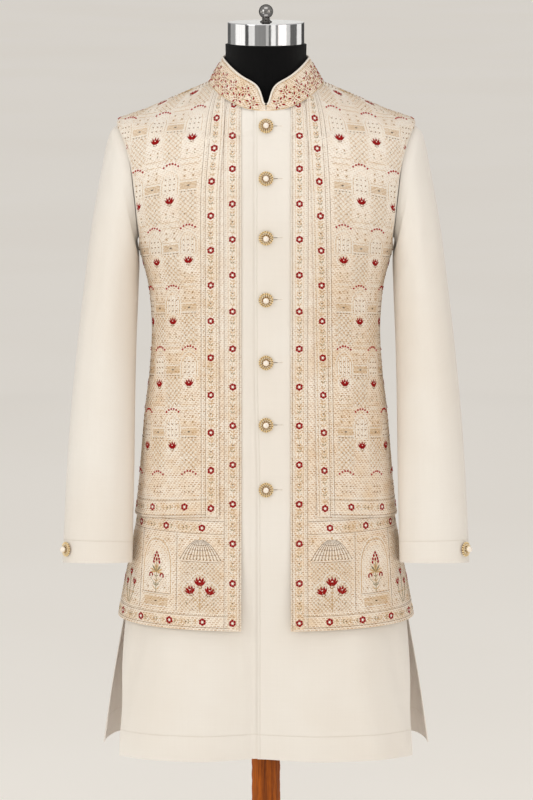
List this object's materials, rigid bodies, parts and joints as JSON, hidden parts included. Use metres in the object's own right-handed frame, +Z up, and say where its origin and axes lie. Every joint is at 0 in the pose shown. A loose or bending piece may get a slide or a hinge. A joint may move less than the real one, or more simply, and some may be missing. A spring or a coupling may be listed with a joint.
{
  "type": "nehru jacket set on a dress form with a stand",
  "caption": "Men's ivory long kurta with band collar, gilt buttons and open two-length embroidered jacket over it, worn by a limbless dress form on a wooden stand.",
  "frame": {"origin": "on the floor, at the centre of the stand's round base", "axes": "+Z up along the post, -Y the way the garment faces, +X the wearer's left"},
  "size_m": [0.6392, 0.45, 1.6445],
  "materials": {
    "ivory_cloth": "matt woven silk blend",
    "embroidered_cloth": "cream cloth closely embroidered in gold, cream and red thread",
    "gilt": "antique gilt filigree with small clear stones",
    "pearl": "pearl",
    "black_jersey": "matt black jersey cover",
    "chrome": "polished chrome",
    "carved_wood": "brown varnished wood"
  },
  "bodies": {
    "root": {"kurta_front_left": "ivory_cloth", "kurta_front_right": "ivory_cloth", "kurta_back": "ivory_cloth", "kurta_sleeve_left": "ivory_cloth", "kurta_sleeve_right": "ivory_cloth", "jacket_long_front_left": "embroidered_cloth", "jacket_long_front_right": "embroidered_cloth", "jacket_long_back": "embroidered_cloth", "jacket_short_front_left": "embroidered_cloth", "jacket_short_front_right": "embroidered_cloth", "jacket_short_back": "embroidered_cloth", "collar": "embroidered_cloth", "collar_piping": "ivory_cloth", "button_1": "gilt", "button_2": "gilt", "button_3": "gilt", "button_4": "gilt", "button_5": "gilt", "button_6": "gilt", "button_7": "gilt", "button_8": "gilt", "button_9": "gilt", "pearl_1": "pearl", "pearl_2": "pearl", "pearl_3": "pearl", "pearl_4": "pearl", "pearl_5": "pearl", "pearl_6": "pearl", "pearl_7": "pearl", "pearl_8": "pearl", "pearl_9": "pearl", "form_trunk": "black_jersey", "neck_cap": "chrome", "finial": "chrome", "post": "carved_wood", "base": "carved_wood"}
  },
  "joints": []
}
